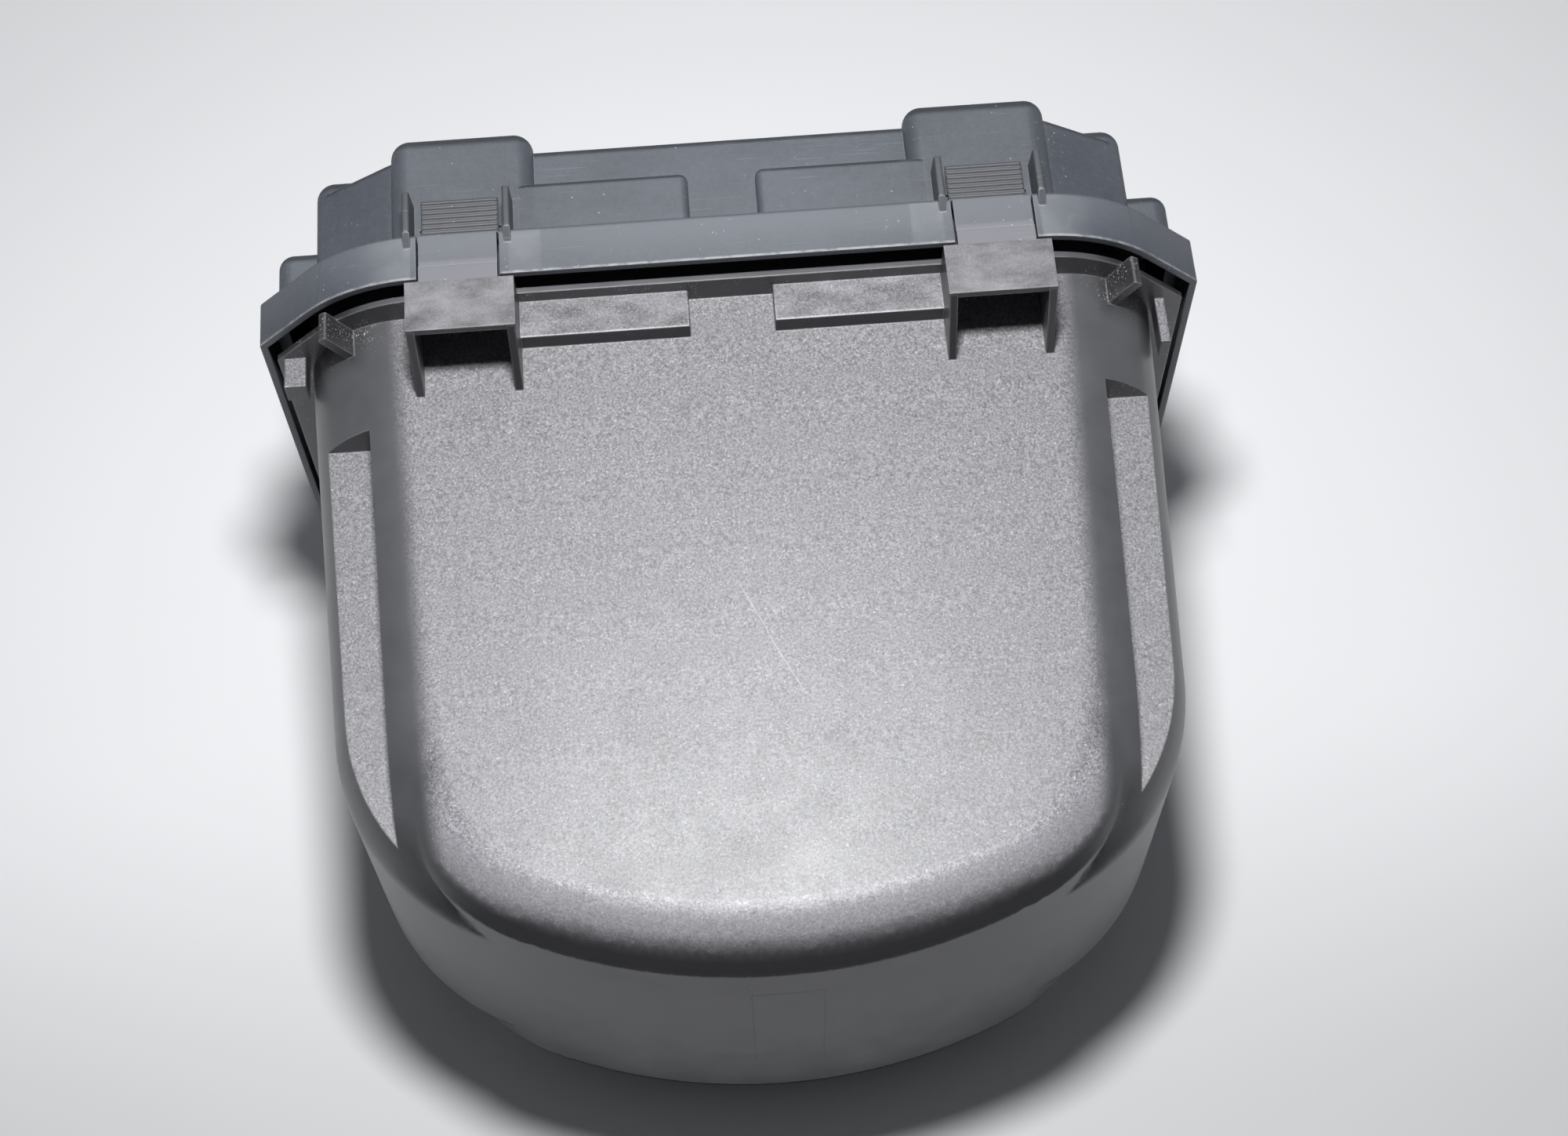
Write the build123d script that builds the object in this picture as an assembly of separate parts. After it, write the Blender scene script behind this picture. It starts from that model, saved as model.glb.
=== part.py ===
# Deep injection-moulded housing: a D-shaped tub closed by a stepped lid with four latches.
# All sizes are in millimetres. It is drawn standing on its closed end, with the mouth
# axis along Z, the collar underside at Z = 0 and the broad faces at -Y and +Y.
# At the end both mouldings are laid on their back, tilted as they come to rest.
import os
from math import asin, atan2, cos, degrees, radians, sin, sqrt, tan

from build123d import *

os.makedirs("parts", exist_ok=True)

# tub body
wall = 2.4
face_half_depth = 78.0
face_draft = 2.0
side_half_width = 131.6
side_draft = 2.9
side_edge_radius = 33.0
end_depth = 207.0
end_arc_radius = 177.0
end_corner_radius = 72.0
end_edge_radius = 18.0
core_side_inset = 17.0
core_corner_inset = 12.0
core_end_proud = 0.5

# collar and rim round the mouth
collar_thickness = 2.3
collar_inset = 5.1

# rebates down both long edges of the broad faces
rebate_inner_x = 111.6
rebate_draft = 2.2
rebate_depth = 15.0
rebate_top_z = -35.5
rebate_end_z = -190.0

# raised pads under the collar
pad_inner_x = 12.8
pad_outer_x = 64.0
pad_height = 12.9
pad_proud = 5.0
pad_draft = 3.0
pad_edge_radius = 0.6

# latch loops
latch_centre_x = 79.6
loop_window = 27.0
loop_cheek = 2.4
loop_plate_thickness = 2.4
loop_reach = 24.2
loop_plate_low_z = -19.8
loop_plate_high_z = -2.9
loop_plate_flare = 0.35
cheek_tip_z = -27.2
cheek_root_drop = 0.5
cheek_knuckle_radius = 1.8

# small stops under the ends of the collar
stop_rib_angle = 32.5
stop_rib_thickness = 3.0
stop_rib_proud = 12.5
stop_rib_height = 8.2
stop_rib_edge_radius = 0.8
left_stop_width = 6.8
left_stop_height = 9.6
right_stop_width = 3.2
right_stop_height = 15.2
stop_depth = 8.0
stop_inner_x = 131.6
stop_front_y = -56.0
stop_edge_radius = 0.5

# lid skirt
lid_wall = 2.2
skirt_reach = 14.8
skirt_half_width = 145.6
skirt_bottom_z = 4.2
skirt_top_z = 20.4
skirt_flat_half = 114.5
skirt_side_half = 61.5
skirt_flat_radius = 50.0
skirt_side_radius = 28.0
skirt_edge_radius = 1.6

# lid body
body_front = 77.0
body_half_width = 127.0
body_flat_half = 102.0
body_side_half = 61.5
body_top_z = 60.4
body_edge_radius = 4.0
body_corner_radius = 12.0
bay_front = 82.5

# raised bays of the lid
dome_inner_x = 58.0
dome_outer_x = 102.5
dome_top_z = 64.8
dome_depth = 44.0
dome_edge_radius = 6.0
panel_inner_x = 10.5
panel_top_z = 44.0
panel_edge_radius = 2.6
least_radius = 0.4
pick_margin = 1.0
end_dome_half_width = 128.8
end_dome_half_depth = 63.0
end_dome_root_x = 96.0
shoulder_half_width = 141.6
shoulder_half_depth = 57.0
shoulder_top_z = 42.0
shoulder_edge_radius = 5.0

# latch tongue, thumb ribs and guard fins
tongue_centre_x = 80.8
tongue_width = 23.6
tongue_thickness = 2.2
slit = 0.7
tongue_root_z = 38.2
tongue_shoulder_z = 24.6
tongue_skirt_z = 19.4
tongue_step_z = 8.4
tongue_step = 0.9
tongue_tip_z = -11.0
tongue_jog = 4.5
barb_clearance = 0.3
barb_length = 6.5
barb_proud = 3.3
barb_land = 1.4
thumb_proud = 1.4
root_overlap = 1.0
slot_headroom = 4.0
slot_overrun = 5.0
rib_count = 7
rib_field_top_z = 38.0
rib_field_low_z = 25.4
rib_proud = 0.7
rib_sunk = 0.3
rib_end_gap = 0.3
rib_base_share = 0.42
rib_crest_share = 0.14
fin_thickness = 2.2
fin_offset = 15.1
fin_reach = 18.1
fin_top_z = 33.6
fin_low_z = 19.2
fin_slope = 3.6
fin_heel = 4.6
fin_heel_sunk = 0.6
fin_edge_radius = 0.7


def end_outline(half_width, depth, corner_radius, top_z, inset):
    """Outline of the tub in the X-Z plane: drafted sides and a shallow arc at the end."""
    slope = tan(radians(side_draft))
    radius = end_arc_radius - inset
    centre_z = end_arc_radius - depth
    width = half_width - inset / cos(radians(side_draft))
    # where a drafted side meets the end arc, from the circle's quadratic
    square = 1 + slope * slope
    middle = width * slope - centre_z
    rest = width * width + centre_z * centre_z - radius * radius
    corner_z = (-middle - sqrt(middle * middle - square * rest)) / square
    corner_x = width + corner_z * slope
    top_x = width + top_z * slope
    with BuildSketch() as sketch:
        with BuildLine():
            ThreePointArc((-corner_x, corner_z), (0, centre_z - radius), (corner_x, corner_z))
            Line((corner_x, corner_z), (top_x, top_z))
            Line((top_x, top_z), (-top_x, top_z))
            Line((-top_x, top_z), (-corner_x, corner_z))
        make_face()
        corners = sketch.vertices().sort_by(Axis.Y)[:2]
        fillet(corners, corner_radius - inset)
    return sketch.sketch


def rounded_block(half_width, depth, corner_radius, edge_radius, top_z, inset):
    """Block of the end outline between drafted broad faces, its long edges rounded."""
    slope = tan(radians(face_draft))
    half = face_half_depth - inset / cos(radians(face_draft))
    low_z = -depth - wall
    outline = Plane.XZ * end_outline(half_width, depth, corner_radius, top_z, inset)
    profile = Polyline(
        (-half - top_z * slope, top_z),
        (half + top_z * slope, top_z),
        (half + low_z * slope, low_z),
        (-half - low_z * slope, low_z),
        close=True,
    )
    slab = extrude(Plane.YZ * make_face(profile), half_width * 2, both=True)
    block = extrude(outline, face_half_depth * 2, both=True) & slab
    broad_faces = block.faces().sort_by(Axis.Y)
    edges = broad_faces[0].edges() + broad_faces[-1].edges()
    rim_z = top_z - wall / 2
    return fillet([edge for edge in edges if edge.center().Z < rim_z], edge_radius - inset)


def tub_block(inset, top_z):
    """Solid of the tub shape: wide rounding down the sides, tight rounding round the end."""
    wide = rounded_block(
        side_half_width, end_depth - core_end_proud, end_corner_radius,
        side_edge_radius, top_z, inset,
    )
    core = rounded_block(
        side_half_width - core_side_inset, end_depth, end_corner_radius - core_corner_inset,
        end_edge_radius, top_z - wall / 2, inset,
    )
    return wide + core


def rebate_cut(inset):
    """The four edge rebates as one cutter; the inset makes room for the wall behind them."""
    slope = tan(radians(face_draft))
    front = -face_half_depth + rebate_depth + inset
    top_z = rebate_top_z + inset
    inner_x = rebate_inner_x - inset / cos(radians(rebate_draft))
    run_in = tan(radians(rebate_draft))
    reach = side_half_width * 2
    profile = Polyline(
        (-reach, top_z),
        (front - top_z * slope, top_z),
        (front - rebate_end_z * slope, rebate_end_z),
        (-reach, rebate_end_z),
        close=True,
    )
    outline = Polyline(
        (inner_x + top_z * run_in, top_z),
        (reach, top_z),
        (reach, rebate_end_z),
        (inner_x + rebate_end_z * run_in, rebate_end_z),
        close=True,
    )
    cut = extrude(Plane.YZ * make_face(profile), reach)
    cut = cut & extrude(Plane.XZ * make_face(outline), reach)
    cut = cut + mirror(cut, Plane.YZ)
    return cut + mirror(cut, Plane.XZ)


def octagon(half_width, half_depth, flat_half, side_half, flat_radius, side_radius, inset):
    """Plan outline with cut corners, offset inward by the inset."""
    shape = Polyline(
        (-flat_half, -half_depth),
        (flat_half, -half_depth),
        (half_width, -side_half),
        (half_width, side_half),
        (flat_half, half_depth),
        (-flat_half, half_depth),
        (-half_width, side_half),
        (-half_width, -side_half),
        close=True,
    )
    with BuildSketch() as sketch:
        add(make_face(shape))
        if inset:
            offset(amount=-inset, kind=Kind.INTERSECTION)
        near = [v for v in sketch.vertices() if abs(v.X) < (flat_half + half_width) / 2]
        far = [v for v in sketch.vertices() if abs(v.X) >= (flat_half + half_width) / 2]
        fillet(near, flat_radius - inset)
        fillet(far, max(side_radius - inset, lid_wall))
    return sketch.sketch


def skirt_outline(inset):
    """Plan outline of the skirt, and of the collar inside it."""
    half_depth = face_half_depth + skirt_reach
    return octagon(
        skirt_half_width, half_depth, skirt_flat_half, skirt_side_half,
        skirt_flat_radius, skirt_side_radius, inset,
    )


def four(shape):
    """A shape drawn at +X, -Y repeated in all four quarters."""
    pair = shape + mirror(shape, Plane.YZ)
    return pair + mirror(pair, Plane.XZ)


def yz_prism(points, centre_x, width):
    """Prism across X from a closed profile given as (Y, Z) points."""
    face = Plane.YZ * make_face(Polyline(*points, close=True))
    return Pos(centre_x, 0, 0) * extrude(face, width / 2, both=True)


def loop():
    """One latch loop: a plate standing on two tapering cheeks."""
    outer = face_half_depth + loop_reach
    inner = outer - loop_plate_thickness
    width = loop_window + 2 * loop_cheek
    root = face_half_depth - wall
    cheek_profile = [
        (-root, collar_thickness / 2),
        (-inner, collar_thickness / 2 + loop_plate_high_z),
        (-outer, loop_plate_high_z),
        (-outer, loop_plate_low_z),
        (-root, cheek_tip_z - cheek_root_drop),
    ]
    cheek = yz_prism(cheek_profile, latch_centre_x + (width - loop_cheek) / 2, loop_cheek)
    knuckle = cheek.edges().filter_by(Axis.X).sort_by(Axis.Y)[:2].sort_by(Axis.Z)[0]
    cheek = fillet(knuckle, cheek_knuckle_radius)
    other = Pos(loop_cheek - width, 0, 0) * cheek
    plate_mid_z = (loop_plate_low_z + loop_plate_high_z) / 2
    plate = Pos(latch_centre_x, -(outer + inner) / 2, plate_mid_z) * Box(
        width + loop_plate_flare, loop_plate_thickness, loop_plate_high_z - loop_plate_low_z
    )
    return plate + cheek + other


def pad():
    """One raised pad under the collar with drafted sides."""
    front = face_half_depth + pad_proud
    slope = tan(radians(pad_draft)) * pad_proud
    profile = [
        (-face_half_depth + wall, collar_thickness / 2),
        (-front, collar_thickness / 2),
        (-front, slope - pad_height),
        (-face_half_depth + wall, -pad_height - slope),
    ]
    body = yz_prism(profile, (pad_inner_x + pad_outer_x) / 2, pad_outer_x - pad_inner_x)
    front_ends = body.edges().filter_by(Axis.Z).sort_by(Axis.Y)[:2]
    front_low = body.edges().filter_by(Axis.X).sort_by(Axis.Z)[:2].sort_by(Axis.Y)[:1]
    return fillet(front_ends + front_low, pad_edge_radius)


def stops():
    """Stop ribs on the rounded edges and stop blocks under the ends of the collar."""
    centre_x = side_half_width - side_edge_radius
    centre_y = side_edge_radius - face_half_depth
    length = side_edge_radius + stop_rib_proud
    rib = Pos(0, -length / 2 - wall, -stop_rib_height / 2) * Box(
        stop_rib_thickness, length - 2 * wall, stop_rib_height + collar_thickness / 2
    )
    rib = fillet(rib.edges().filter_by(Axis.Z).sort_by(Axis.Y)[:2], stop_rib_edge_radius)
    rib = Pos(centre_x, centre_y, 0) * Rot(0, 0, stop_rib_angle) * rib
    shell = Pos(0, 0, -stop_rib_height) * Cylinder(side_edge_radius - wall, stop_rib_height * 4)
    rib = rib - Pos(centre_x, centre_y, 0) * shell
    group = four(rib)
    sides = ((-1, left_stop_width, left_stop_height), (1, right_stop_width, right_stop_height))
    for side, width, height in sides:
        block = Pos(0, 0, -height / 2) * Box(width, stop_depth, height + collar_thickness / 2)
        block = fillet(block.edges().filter_by(Axis.Z), stop_edge_radius)
        for end in (-1, 1):
            group = group + Pos(side * (stop_inner_x + width / 2), end * stop_front_y, 0) * block
    return group


def make_tub():
    """The tub with its collar, rim, pads, loops and stops as one moulding."""
    rim_top_z = skirt_top_z - lid_wall
    outer = tub_block(0.0, rim_top_z) - rebate_cut(0.0)
    cavity = tub_block(wall, rim_top_z) - rebate_cut(wall)
    collar = extrude(skirt_outline(collar_inset), collar_thickness)
    collar = fillet(collar.faces().sort_by(Axis.Z)[-1].edges(), collar_thickness / 4)
    body = outer + collar + four(loop()) + four(pad()) + stops()
    return body - cavity


def rounded_box(x_low, x_high, y_low, y_high, z_low, z_high, radius, sides):
    """Box with its top edges and the named upright edges rounded."""
    box = Pos((x_low + x_high) / 2, (y_low + y_high) / 2, (z_low + z_high) / 2) * Box(
        x_high - x_low, y_high - y_low, z_high - z_low
    )
    uprights = box.edges().filter_by(Axis.Z)
    chosen = [edge for edge in uprights if sides(edge.center())]
    top = box.faces().sort_by(Axis.Z)[-1].edges()
    chosen += [edge for edge in top if sides(edge.center())]
    return fillet(chosen, radius)


def lid_block(inset):
    """Solid of the lid above its skirt, made smaller all round by the inset."""
    low_z = skirt_top_z - lid_wall * 2
    front = bay_front - inset
    dome_back = dome_depth - bay_front
    body = extrude(
        octagon(
            body_half_width, body_front, body_flat_half, body_side_half,
            body_corner_radius, body_corner_radius, inset,
        ),
        body_top_z - inset - low_z,
    )
    body = fillet(body.faces().sort_by(Axis.Z)[-1].edges(), body_edge_radius - inset)
    block = Pos(0, 0, low_z) * body
    dome = rounded_box(
        dome_inner_x + inset, dome_outer_x - inset, -front, dome_back - inset,
        low_z, dome_top_z - inset, dome_edge_radius - inset, lambda c: c.Z > low_z,
    )
    panel = rounded_box(
        panel_inner_x + inset, dome_inner_x + wall * 2, -front, -body_front / 2,
        low_z, panel_top_z - inset, max(panel_edge_radius - inset, least_radius),
        lambda c: c.Y < -body_front / 2 - pick_margin and c.X < dome_inner_x,
    )
    block = block + four(dome) + four(panel)
    end_dome = rounded_box(
        end_dome_root_x + inset, end_dome_half_width - inset, inset - end_dome_half_depth,
        end_dome_half_depth - inset, low_z, dome_top_z - inset, dome_edge_radius - inset,
        lambda c: c.X > end_dome_root_x + pick_margin,
    )
    shoulder = rounded_box(
        end_dome_root_x, shoulder_half_width - inset, inset - shoulder_half_depth,
        shoulder_half_depth - inset, low_z, shoulder_top_z - inset, shoulder_edge_radius - inset,
        lambda c: c.X > end_dome_root_x + pick_margin,
    )
    for shape in (end_dome, shoulder):
        block = block + shape + mirror(shape, Plane.YZ)
    return block


def tongue():
    """Latch tongue: ribbed thumb field, slanting shoulder, step and barb behind the loop."""
    thumb = bay_front + thumb_proud
    skirt = face_half_depth + skirt_reach
    step = skirt + tongue_step
    plate_inner = face_half_depth + loop_reach - loop_plate_thickness
    barb = plate_inner - barb_clearance
    blade = barb - barb_proud
    root = bay_front - root_overlap
    screen_z = tongue_shoulder_z + slot_headroom
    catch_z = tongue_tip_z + barb_length
    profile = [
        (-root, tongue_root_z),
        (-thumb, tongue_root_z),
        (-thumb, tongue_shoulder_z),
        (-skirt, tongue_skirt_z),
        (-skirt, tongue_step_z),
        (-step, tongue_step_z - tongue_step / 2),
        (-step, catch_z + tongue_jog),
        (-blade, catch_z + tongue_jog / 3),
        (-blade, catch_z),
        (-barb, catch_z),
        (-barb, catch_z - barb_land),
        (-blade, tongue_tip_z),
        (tongue_thickness - blade, tongue_tip_z),
        (tongue_thickness - blade, catch_z + tongue_jog / 3),
        (tongue_thickness - step, catch_z + tongue_jog),
        (tongue_thickness - skirt, tongue_step_z),
        (tongue_thickness - skirt, tongue_skirt_z - tongue_thickness / 2),
        (tongue_thickness - thumb, tongue_shoulder_z - tongue_thickness / 2),
        (tongue_thickness - thumb, screen_z),
        (-root, screen_z),
    ]
    body = yz_prism(profile, tongue_centre_x, tongue_width)
    pitch = (rib_field_top_z - rib_field_low_z) / rib_count
    for index in range(rib_count):
        centre_z = rib_field_low_z + pitch * (index + 1 / 2)
        ridge = yz_prism(
            [
                (-thumb + rib_sunk, centre_z - pitch * rib_base_share),
                (-thumb - rib_proud, centre_z - pitch * rib_crest_share),
                (-thumb - rib_proud, centre_z + pitch * rib_crest_share),
                (-thumb + rib_sunk, centre_z + pitch * rib_base_share),
            ],
            tongue_centre_x,
            tongue_width - 2 * rib_end_gap,
        )
        body = body + ridge
    return body


def fins():
    """The two guard fins beside one thumb field."""
    reach = face_half_depth + fin_reach
    root = bay_front - root_overlap
    skirt = face_half_depth + skirt_reach
    profile = [
        (-root, fin_top_z + fin_slope),
        (-reach, fin_top_z),
        (-reach, fin_low_z),
        (fin_heel_sunk - skirt, fin_low_z - fin_heel),
        (-root, fin_low_z - fin_heel),
    ]
    fin = yz_prism(profile, tongue_centre_x + fin_offset, fin_thickness)
    outer = fin.faces().sort_by(Axis.Y)[0]
    fin = fillet(outer.edges(), fin_edge_radius)
    return fin + Pos(-2 * fin_offset, 0, 0) * fin


def make_lid():
    """The lid: skirt, stepped body, domes, guard fins and latch tongues as one moulding."""
    skirt = extrude(skirt_outline(0.0), skirt_top_z - skirt_bottom_z)
    skirt = fillet(skirt.faces().sort_by(Axis.Z)[-1].edges(), skirt_edge_radius)
    skirt_core = extrude(skirt_outline(lid_wall), skirt_top_z - lid_wall - skirt_bottom_z)
    outer = Pos(0, 0, skirt_bottom_z) * skirt + lid_block(0.0) + four(fins())
    core = Pos(0, 0, skirt_bottom_z) * skirt_core + lid_block(lid_wall)
    core = core + Pos(0, 0, skirt_bottom_z) * extrude(skirt_outline(lid_wall), -slot_overrun)
    shell = outer - core
    skirt_front = face_half_depth + skirt_reach
    slot_width = tongue_width + 2 * slit
    slot_back = bay_front + thumb_proud - tongue_thickness - slit
    slot_front = skirt_front + slot_overrun
    slot_low = skirt_bottom_z - root_overlap
    slot_high = tongue_shoulder_z + slot_headroom
    slot = Pos(tongue_centre_x, -(slot_back + slot_front) / 2, (slot_low + slot_high) / 2) * Box(
        slot_width, slot_front - slot_back, slot_high - slot_low
    )
    wall_height = skirt_top_z - skirt_bottom_z
    wall_mid_z = (skirt_bottom_z + skirt_top_z) / 2
    screen = Pos(tongue_centre_x, -slot_back + lid_wall / 2, wall_mid_z) * Box(
        slot_width + 2 * lid_wall, lid_wall, wall_height
    )
    side_reach = skirt_front - root_overlap
    side = Pos(
        tongue_centre_x + (slot_width + lid_wall) / 2, -(slot_back + side_reach) / 2, wall_mid_z
    ) * Box(lid_wall, side_reach - slot_back, wall_height - root_overlap)
    sides = side + Pos(-slot_width - lid_wall, 0, 0) * side
    shell = shell + four(sides) - four(slot) + four(screen)
    return shell + four(tongue())


def rest_angle():
    """Tilt of the mouth axis when the rear loops and the closed end touch the table."""
    loop_y = face_half_depth + loop_reach
    centre_z = end_edge_radius - end_depth
    slope = tan(radians(face_draft))
    centre_y = face_half_depth + centre_z * slope - end_edge_radius / cos(radians(face_draft))
    run = loop_plate_low_z - centre_z
    rise = loop_y - centre_y
    lean = atan2(rise, run) - asin(end_edge_radius / sqrt(run * run + rise * rise))
    return degrees(lean)


tub = make_tub()
lid = make_lid()
lying = Rot(rest_angle() - 90, 0, 0)
laid = [lying * tub, lying * lid]
boxes = [part.bounding_box() for part in laid]
middle_y = (min(box.min.Y for box in boxes) + max(box.max.Y for box in boxes)) / 2
floor_z = min(box.min.Z for box in boxes)
for name, part in zip(("tub", "lid"), laid):
    placed = Pos(0, -middle_y, -floor_z) * part
    export_step(placed, f"parts/{name}.step")
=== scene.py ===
import math
import bpy
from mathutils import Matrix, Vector

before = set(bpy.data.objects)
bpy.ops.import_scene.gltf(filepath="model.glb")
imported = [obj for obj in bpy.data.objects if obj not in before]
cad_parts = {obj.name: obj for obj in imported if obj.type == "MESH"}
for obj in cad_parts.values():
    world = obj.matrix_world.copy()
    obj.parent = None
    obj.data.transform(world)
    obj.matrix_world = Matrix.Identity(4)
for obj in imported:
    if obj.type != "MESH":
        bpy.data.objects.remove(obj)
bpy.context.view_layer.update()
print("frame loaded:", sorted(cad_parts))

# where the moulding's own drawing frame lies: mouth axis tilted, collar plane lifted
partFrame = {
    "tilt": 10.22513,       # degrees between the mouth axis and the table
    "seatY": 68.01478,      # mm
    "seatZ": 104.09167,
}


# small helpers for node trees: none of them holds a finish
class Maker:
    def __init__(self, tree):
        self.tree = tree
        self.column = 0

    def node(self, kind, **settings):
        made = self.tree.nodes.new(kind)
        self.column += 1
        made.location = ((self.column % 14) * 190, -(self.column // 14) * 240)
        for key, value in settings.items():
            setattr(made, key, value)
        return made

    def plug(self, socket, value):
        if isinstance(value, bpy.types.NodeSocket):
            self.tree.links.new(value, socket)
        else:
            socket.default_value = value

    def math(self, operation, *values):
        made = self.node("ShaderNodeMath", operation=operation)
        for socket, value in zip(made.inputs, values):
            self.plug(socket, value)
        return made.outputs[0]

    def product(self, first, *others):
        for value in others:
            first = self.math("MULTIPLY", first, value)
        return first

    def largest(self, first, *others):
        for value in others:
            first = self.math("MAXIMUM", first, value)
        return first

    def distance(self, value, middle):
        return self.math("ABSOLUTE", self.math("SUBTRACT", value, middle))

    def sway(self, noise, amount, level):
        # the level, moved up and down by a noise that swings round one half
        return self.math("MULTIPLY_ADD", self.math("SUBTRACT", noise, 0.5), amount, level)

    def ramp(self, value, low, high, outLow=0.0, outHigh=1.0):
        made = self.node("ShaderNodeMapRange", interpolation_type="SMOOTHSTEP")
        for name, number in (("Value", value), ("From Min", low), ("From Max", high),
                             ("To Min", outLow), ("To Max", outHigh)):
            self.plug(made.inputs[name], number)
        return made.outputs[0]

    def mixColour(self, factor, first, second, blend="MIX"):
        made = self.node("ShaderNodeMix", data_type="RGBA", blend_type=blend)
        self.plug(made.inputs["Factor"], factor)
        self.plug(made.inputs[6], first)
        self.plug(made.inputs[7], second)
        return made.outputs[2]

    def mixNumber(self, factor, first, second):
        made = self.node("ShaderNodeMix", data_type="FLOAT")
        self.plug(made.inputs["Factor"], factor)
        self.plug(made.inputs[2], first)
        self.plug(made.inputs[3], second)
        return made.outputs[0]

    def layOver(self, share, amount, under, over):
        # a colour laid over the one below it, at most by the amount
        return self.mixColour(self.math("MULTIPLY", share, amount), under, over)

    def shade(self, colour, tone):
        return self.mixColour(1.0, colour, self.combine(tone, tone, tone), "MULTIPLY")

    def noise(self, vector, scale, detail=2.0, roughness=0.5):
        made = self.node("ShaderNodeTexNoise")
        self.plug(made.inputs["Vector"], vector)
        made.inputs["Scale"].default_value = scale
        made.inputs["Detail"].default_value = detail
        made.inputs["Roughness"].default_value = roughness
        return made.outputs["Fac"]

    def specks(self, vector, scale, radius):
        # small round grains scattered at random, 1 inside a grain
        made = self.node("ShaderNodeTexVoronoi", feature="F1")
        self.plug(made.inputs["Vector"], vector)
        made.inputs["Scale"].default_value = scale
        size = self.math("MULTIPLY", self.separate(made.outputs["Color"])[0], radius)
        return self.math("LESS_THAN", made.outputs["Distance"], size)

    def separate(self, vector):
        made = self.node("ShaderNodeSeparateXYZ")
        self.plug(made.inputs[0], vector)
        return made.outputs

    def combine(self, x, y, z):
        made = self.node("ShaderNodeCombineXYZ")
        for socket, value in zip(made.inputs, (x, y, z)):
            self.plug(socket, value)
        return made.outputs[0]

    def stretched(self, vector, scale, turn=(0, 0, 0)):
        made = self.node("ShaderNodeMapping", vector_type="POINT")
        self.plug(made.inputs["Vector"], vector)
        made.inputs["Scale"].default_value = scale
        made.inputs["Rotation"].default_value = [math.radians(a) for a in turn]
        return made.outputs[0]

    def stroke(self, across, along, start, end, width):
        # a fine line from start to end in the plane (across, along), 1 on its middle
        dx, dz = end[0] - start[0], end[1] - start[1]
        length = math.hypot(dx, dz)
        ux, uz = dx / length, dz / length
        x = self.math("SUBTRACT", across, start[0])
        z = self.math("SUBTRACT", along, start[1])
        run = self.math("ADD", self.math("MULTIPLY", x, ux), self.math("MULTIPLY", z, uz))
        side = self.math("ABSOLUTE", self.math(
            "SUBTRACT", self.math("MULTIPLY", x, uz), self.math("MULTIPLY", z, ux)))
        return self.product(self.ramp(run, -width, width),
                            self.ramp(run, length - width, length + width, 1.0, 0.0),
                            self.ramp(side, 0.0, width, 1.0, 0.0))

    def strokes(self, across, along, lines):
        return self.largest(*[self.stroke(across, along, *line) for line in lines])

    def bump(self, height, distance, normal):
        made = self.node("ShaderNodeBump")
        made.inputs["Strength"].default_value = 1.0
        made.inputs["Distance"].default_value = distance
        self.plug(made.inputs["Height"], height)
        self.plug(made.inputs["Normal"], normal)
        return made.outputs[0]


def newMaterial(name):
    material = bpy.data.materials.new(name)
    material.use_nodes = True
    material.node_tree.nodes.clear()
    maker = Maker(material.node_tree)
    shader = maker.node("ShaderNodeBsdfPrincipled")
    output = maker.node("ShaderNodeOutputMaterial")
    maker.plug(output.inputs[0], shader.outputs[0])
    return material, maker, shader


# object coordinates and normal turned back into the moulding's drawing frame, in mm
class DrawingSpace:
    def __init__(self, maker):
        turn = math.radians(90 - partFrame["tilt"])
        seatY, seatZ = partFrame["seatY"], partFrame["seatZ"]
        shiftY = -(seatY * math.cos(turn) - seatZ * math.sin(turn))
        shiftZ = -(seatY * math.sin(turn) + seatZ * math.cos(turn))
        point = maker.node("ShaderNodeMapping", vector_type="POINT")
        maker.plug(point.inputs["Vector"], maker.node("ShaderNodeTexCoord").outputs["Object"])
        point.inputs["Scale"].default_value = (1000, 1000, 1000)
        point.inputs["Rotation"].default_value = (turn, 0, 0)
        point.inputs["Location"].default_value = (0, shiftY, shiftZ)
        facing = maker.node("ShaderNodeMapping", vector_type="VECTOR")
        maker.plug(facing.inputs["Vector"],
                   maker.node("ShaderNodeNewGeometry").outputs["Normal"])
        facing.inputs["Rotation"].default_value = (turn, 0, 0)
        self.place = point.outputs[0]
        self.x, self.y, self.z = maker.separate(self.place)
        self.absX = maker.math("ABSOLUTE", self.x)
        self.absY = maker.math("ABSOLUTE", self.y)
        sides = maker.separate(facing.outputs[0])
        self.outward = maker.math("MULTIPLY", sides[1], maker.math("SIGN", self.y))
        self.nz = sides[2]


edgeRule = {
    "samples": 4,
    "turn": (0.99, 0.80),     # cosine between the rounded and the plain normal
}


def edgeGlint(maker, radius):
    # 0 on open faces, rising to 1 along every crisp edge
    soft = maker.node("ShaderNodeBevel", samples=edgeRule["samples"])
    soft.inputs["Radius"].default_value = radius
    dot = maker.node("ShaderNodeVectorMath", operation="DOT_PRODUCT")
    maker.plug(dot.inputs[0], soft.outputs[0])
    maker.plug(dot.inputs[1], maker.node("ShaderNodeNewGeometry").outputs["Normal"])
    return soft.outputs[0], maker.ramp(dot.outputs["Value"], *edgeRule["turn"])


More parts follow.
